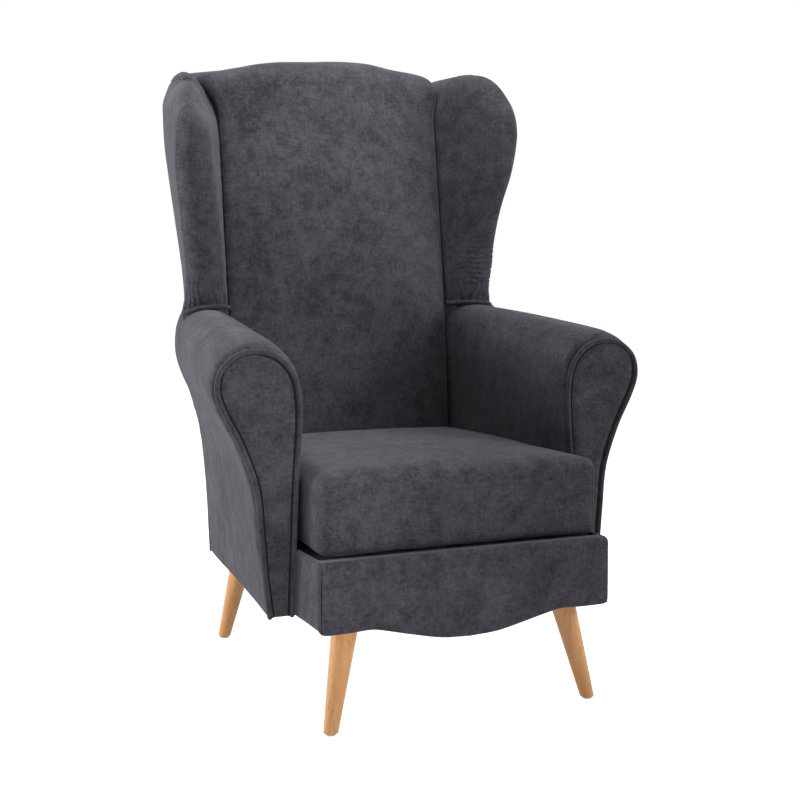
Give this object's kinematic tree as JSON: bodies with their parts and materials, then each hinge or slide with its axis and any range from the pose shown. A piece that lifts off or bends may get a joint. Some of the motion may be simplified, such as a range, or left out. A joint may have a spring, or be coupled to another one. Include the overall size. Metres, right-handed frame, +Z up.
{
  "type": "fireside chair",
  "caption": "High winged-back fireside armchair with scroll arms, loose seat cushion, serpentine front border and splayed tapered wooden legs.",
  "frame": {"origin": "on the floor, in the middle of the chair's bounding box", "axes": "+Z up, -Y towards the front of the chair, +X towards the sitter's left"},
  "size_m": [0.7566, 0.7098, 1.1],
  "materials": {
    "chenille": "mottled charcoal chenille",
    "piping": "charcoal chenille cord",
    "beech": "clear satin lacquer",
    "frame_wood": "sawn, unfinished",
    "steel": "zinc plated",
    "webbing": "woven elastic",
    "black_cloth": "non-woven",
    "foam": "open-cell foam",
    "nylon": "moulded"
  },
  "bodies": {
    "root": {"left_front_leg": "beech", "right_front_leg": "beech", "left_front_glide": "nylon", "right_front_glide": "nylon", "left_front_leg_bolt": "steel", "right_front_leg_bolt": "steel", "left_front_leg_plate": "steel", "right_front_leg_plate": "steel", "left_rear_leg": "beech", "right_rear_leg": "beech", "left_rear_glide": "nylon", "right_rear_glide": "nylon", "left_rear_leg_bolt": "steel", "right_rear_leg_bolt": "steel", "left_rear_leg_plate": "steel", "right_rear_leg_plate": "steel", "left_seat_rail": "frame_wood", "right_seat_rail": "frame_wood", "left_front_corner_block": "frame_wood", "right_front_corner_block": "frame_wood", "left_rear_corner_block": "frame_wood", "right_rear_corner_block": "frame_wood", "left_back_post": "frame_wood", "right_back_post": "frame_wood", "left_wing_board": "frame_wood", "right_wing_board": "frame_wood", "left_arm_stump": "frame_wood", "right_arm_stump": "frame_wood", "left_arm_board": "frame_wood", "right_arm_board": "frame_wood", "left_arm_pad": "chenille", "right_arm_pad": "chenille", "left_wing_pad": "chenille", "right_wing_pad": "chenille", "left_arm_facing": "chenille", "right_arm_facing": "chenille", "left_arm_piping": "piping", "right_arm_piping": "piping", "left_wing_piping": "piping", "right_wing_piping": "piping", "front_seat_rail": "frame_wood", "rear_seat_rail": "frame_wood", "top_back_rail": "frame_wood", "lower_back_rail": "frame_wood", "back_strap_1": "webbing", "back_strap_2": "webbing", "inside_back_pad": "chenille", "outside_back_panel": "chenille", "front_border": "chenille", "seat_spring_1": "steel", "seat_spring_2": "steel", "seat_spring_3": "steel", "seat_spring_4": "steel", "front_clip_rail": "steel", "rear_clip_rail": "steel", "seat_deck": "black_cloth", "dust_cover": "black_cloth", "seat_cushion_cover": "chenille", "seat_cushion_core": "foam", "seat_cushion_zip": "black_cloth"}
  },
  "joints": []
}
